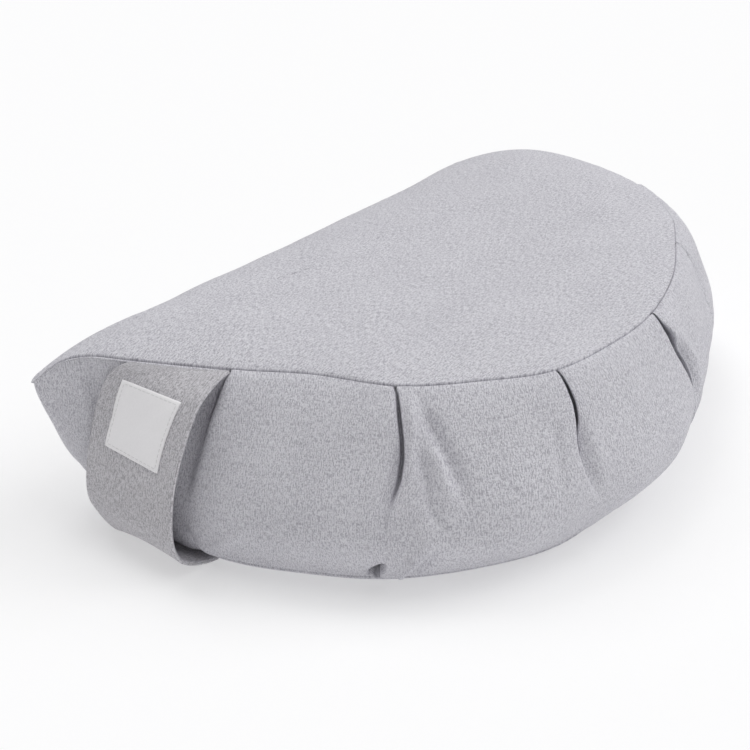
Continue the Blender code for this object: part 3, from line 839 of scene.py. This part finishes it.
def buildMelange():
    """Two-tone woven cotton: uneven yarn along both directions, fine speckle and the weave's own relief."""
    group = bpy.data.node_groups.new("twoToneWeave", "ShaderNodeTree")
    for name, kind, value in (
        ("Cloth place", "NodeSocketVector", None),
        ("Light yarn", "NodeSocketColor", (0.6, 0.6, 0.6, 1)),
        ("Dark yarn", "NodeSocketColor", (0.3, 0.3, 0.3, 1)),
        ("Slub amount", "NodeSocketFloat", 0.5),
        ("Speckle amount", "NodeSocketFloat", 0.5),
        ("Yarns per metre", "NodeSocketFloat", 1600.0),
    ):
        socket = group.interface.new_socket(name, in_out="INPUT", socket_type=kind)
        if value is not None:
            socket.default_value = value
    group.interface.new_socket("Color", in_out="OUTPUT", socket_type="NodeSocketColor")
    group.interface.new_socket("Roughness", in_out="OUTPUT", socket_type="NodeSocketFloat")
    group.interface.new_socket("Height", in_out="OUTPUT", socket_type="NodeSocketFloat")
    enter = node(group, "NodeGroupInput", (-1400, 0))
    leave = node(group, "NodeGroupOutput", (900, 0))
    link = group.links.new

    def streak(scale, seed, place, detail=2.0):
        mapping = node(group, "ShaderNodeMapping", (place[0] - 220, place[1]))
        mapping.inputs["Scale"].default_value = scale
        mapping.inputs["Location"].default_value = (seed, seed * 1.7, 0)
        link(enter.outputs["Cloth place"], mapping.inputs["Vector"])
        made = node(group, "ShaderNodeTexNoise", place, noise_dimensions="2D")
        made.inputs["Scale"].default_value = 1.0
        made.inputs["Detail"].default_value = detail
        made.inputs["Roughness"].default_value = 0.6
        link(mapping.outputs["Vector"], made.inputs["Vector"])
        return made.outputs["Fac"]

    warp = streak((1500, 280, 1), 3.1, (-900, 500))
    weft = streak((300, 1400, 1), 8.7, (-900, 250))
    speckle = streak((1400, 900, 1), 5.3, (-900, 0), 3.0)
    cloudy = streak((45, 30, 1), 1.9, (-900, -250), 3.0)
    yarns = mathNode(group, "ADD", mathNode(group, "MULTIPLY", warp, 0.78, (-650, 500)), mathNode(group, "MULTIPLY", weft, 0.22, (-650, 300)), (-480, 400))
    slub = mathNode(group, "MULTIPLY", mathNode(group, "SUBTRACT", yarns, 0.5, (-320, 400)), enter.outputs["Slub amount"], (-160, 400))
    fleck = mathNode(group, "MULTIPLY", mathNode(group, "SUBTRACT", speckle, 0.5, (-480, 0)), enter.outputs["Speckle amount"], (-320, 0))
    cloud = mathNode(group, "MULTIPLY", mathNode(group, "SUBTRACT", cloudy, 0.5, (-480, -250)), 0.35, (-320, -250))
    mixed = mathNode(group, "ADD", mathNode(group, "ADD", slub, fleck, (0, 200)), cloud, (150, 100))
    share = mathNode(group, "ADD", mixed, 0.62, (300, 100), clamp=True)
    colour = node(group, "ShaderNodeMix", (500, 200), data_type="RGBA")
    link(share, colour.inputs[0])
    link(enter.outputs["Dark yarn"], colour.inputs[6])
    link(enter.outputs["Light yarn"], colour.inputs[7])
    link(colour.outputs[2], leave.inputs["Color"])

    # over and under: two waves at right angles, swapped from yarn to yarn
    split = node(group, "ShaderNodeSeparateXYZ", (-1150, -600))
    link(enter.outputs["Cloth place"], split.inputs[0])
    u = mathNode(group, "MULTIPLY", split.outputs[0], enter.outputs["Yarns per metre"], (-950, -550))
    v = mathNode(group, "MULTIPLY", split.outputs[1], enter.outputs["Yarns per metre"], (-950, -720))
    waveU = mathNode(group, "SINE", mathNode(group, "MULTIPLY", u, math.pi, (-780, -550)), None, (-620, -550))
    waveV = mathNode(group, "SINE", mathNode(group, "MULTIPLY", v, math.pi, (-780, -720)), None, (-620, -720))
    crossing = mathNode(group, "MULTIPLY", waveU, waveV, (-450, -620))
    bars = mathNode(group, "ABSOLUTE", crossing, None, (-290, -620))
    relief = mathNode(group, "ADD", mathNode(group, "MULTIPLY", bars, 0.5, (-130, -620)), mathNode(group, "MULTIPLY", crossing, 0.18, (-130, -760)), (30, -640))
    fuzz = mathNode(group, "ADD", mathNode(group, "MULTIPLY", mixed, 1.1, (30, -450)), mathNode(group, "MULTIPLY", relief, 0.8, (190, -640)), (350, -500))
    link(fuzz, leave.inputs["Height"])
    rough = mathNode(group, "SUBTRACT", 0.93, mathNode(group, "MULTIPLY", share, 0.12, (500, -100)), (650, -100))
    link(rough, leave.inputs["Roughness"])
    return group


melange = buildMelange()


def clothMaterial(name, light, dark, slub, speckle, yarns, turn, bumpDistance, sheen):
    material = bpy.data.materials.new(name)
    material.use_nodes = True
    tree = material.node_tree
    shader = tree.nodes["Principled BSDF"]
    place = node(tree, "ShaderNodeUVMap", (-1000, 0), uv_map="clothMap")
    mapping = node(tree, "ShaderNodeMapping", (-800, 0))
    mapping.inputs["Rotation"].default_value = (0, 0, math.radians(turn))
    weave = node(tree, "ShaderNodeGroup", (-560, 0), node_tree=melange)
    weave.inputs["Light yarn"].default_value = light
    weave.inputs["Dark yarn"].default_value = dark
    weave.inputs["Slub amount"].default_value = slub
    weave.inputs["Speckle amount"].default_value = speckle
    weave.inputs["Yarns per metre"].default_value = yarns
    bump = node(tree, "ShaderNodeBump", (-260, -260))
    bump.inputs["Strength"].default_value = 0.55
    bump.inputs["Distance"].default_value = bumpDistance
    tree.links.new(place.outputs["UV"], mapping.inputs["Vector"])
    tree.links.new(mapping.outputs["Vector"], weave.inputs["Cloth place"])
    tree.links.new(weave.outputs["Color"], shader.inputs["Base Color"])
    tree.links.new(weave.outputs["Roughness"], shader.inputs["Roughness"])
    tree.links.new(weave.outputs["Height"], bump.inputs["Height"])
    tree.links.new(bump.outputs["Normal"], shader.inputs["Normal"])
    shader.inputs["Sheen Weight"].default_value = sheen
    shader.inputs["Sheen Roughness"].default_value = 0.55
    shader.inputs["Specular IOR Level"].default_value = 0.2
    return material


coverCloth = clothMaterial("coverCloth", clothValues["light"], clothValues["dark"], 3.3, 2.9, 1 / clothValues["threadPitch"], 0, 0.35 * mm, 0.12)
strapCloth = clothMaterial("strapCloth", clothValues["strapLight"], clothValues["strapDark"], 3.8, 3.2, 1 / clothValues["threadPitch"], 0, 0.35 * mm, 0.12)
labelCloth = clothMaterial("labelCloth", clothValues["labelLight"], clothValues["labelDark"], 0.5, 0.5, 2600, 0, 0.12 * mm, 0.05)

threadCotton = bpy.data.materials.new("threadCotton")
threadCotton.use_nodes = True
threadTree = threadCotton.node_tree
threadPlace = node(threadTree, "ShaderNodeTexCoord", (-900, 0))
twist = node(threadTree, "ShaderNodeTexNoise", (-650, 0))
twist.inputs["Scale"].default_value = 2500
threadRamp = node(threadTree, "ShaderNodeMix", (-350, 0), data_type="RGBA")
threadRamp.inputs[6].default_value = (0.62, 0.61, 0.62, 1)
threadRamp.inputs[7].default_value = (0.80, 0.79, 0.80, 1)
threadTree.links.new(threadPlace.outputs["Object"], twist.inputs["Vector"])
threadTree.links.new(twist.outputs["Fac"], threadRamp.inputs[0])
threadTree.links.new(threadRamp.outputs[2], threadTree.nodes["Principled BSDF"].inputs["Base Color"])
threadTree.nodes["Principled BSDF"].inputs["Roughness"].default_value = 0.7

for piece, cloth in ((cushion, coverCloth), (strap, strapCloth), (label, labelCloth), (stitches, threadCotton)):
    piece.data.materials.clear()
    piece.data.materials.append(cloth)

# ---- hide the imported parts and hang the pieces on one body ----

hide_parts("cushion")
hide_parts("carry_strap")
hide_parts("label")
for piece, slotName in ((cushion, "cover_cloth"), (strap, "strap_cloth"), (label, "label_cloth"), (stitches, "label_cloth")):
    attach(piece, "root")

# ---- floor, light and camera ----

stageValues = {
    "floorColour": (0.60, 0.60, 0.605, 1),
    "floorGlow": 0.385,
    "worldStrength": 0.37,
    "topStrength": 0.67,
    "backStrength": 0.58,
    "rightStrength": 0.80,
    "frontStrength": 0.32,
    "azimuth": -46.0,
    "elevation": 29.0,
    "distance": 1.395,
    "lens": 111.6,
    "target": (-0.04396, 0.03111, 0.0558),
}

deselectAll()
bpy.ops.mesh.primitive_plane_add(size=60, location=(0, 0, -0.0003))
floor = bpy.context.active_object
floor.name = "studio_floor"
floorPaint = bpy.data.materials.new("studioFloor")
floorPaint.use_nodes = True
floorShader = floorPaint.node_tree.nodes["Principled BSDF"]
floorShader.inputs["Base Color"].default_value = stageValues["floorColour"]
floorShader.inputs["Roughness"].default_value = 0.9
floorShader.inputs["Specular IOR Level"].default_value = 0.1
floorShader.inputs["Emission Color"].default_value = (1, 1, 1, 1)
floorShader.inputs["Emission Strength"].default_value = stageValues["floorGlow"]
floor.data.materials.append(floorPaint)

world = bpy.data.worlds.new("studio")
bpy.context.scene.world = world
world.use_nodes = True
world.node_tree.nodes["Background"].inputs["Color"].default_value = (1, 1, 1, 1)
world.node_tree.nodes["Background"].inputs["Strength"].default_value = stageValues["worldStrength"]


def sunFrom(name, azimuth, elevation, strength, spread):
    deselectAll()
    bpy.ops.object.light_add(type="SUN", location=(0, 0, 1))
    sun = bpy.context.active_object
    sun.name = name
    a, e = math.radians(azimuth), math.radians(elevation)
    towards = Vector((math.sin(a) * math.cos(e), -math.cos(a) * math.cos(e), math.sin(e)))
    sun.rotation_euler = towards.to_track_quat("Z", "Y").to_euler()
    sun.data.energy = strength
    sun.data.angle = math.radians(spread)
    return sun


sunFrom("topSoftbox", 0, 90, stageValues["topStrength"], 50)
sunFrom("backSoftbox", 170, 60, stageValues["backStrength"], 34)
sunFrom("rightSoftbox", 62, 40, stageValues["rightStrength"], 34)
sunFrom("frontSoftbox", 20, 50, stageValues["frontStrength"], 40)

cameraData = bpy.data.cameras.new("photoCamera")
camera = bpy.data.objects.new("photoCamera", cameraData)
bpy.context.collection.objects.link(camera)
a, e = math.radians(stageValues["azimuth"]), math.radians(stageValues["elevation"])
back = Vector((math.sin(a) * math.cos(e), -math.cos(a) * math.cos(e), math.sin(e)))
camera.location = Vector(stageValues["target"]) + back * stageValues["distance"]
camera.rotation_euler = back.to_track_quat("Z", "Y").to_euler()
cameraData.lens = stageValues["lens"]
cameraData.sensor_width = 36
cameraData.dof.use_dof = False
bpy.context.scene.camera = camera
bpy.context.scene.view_settings.view_transform = "Standard"
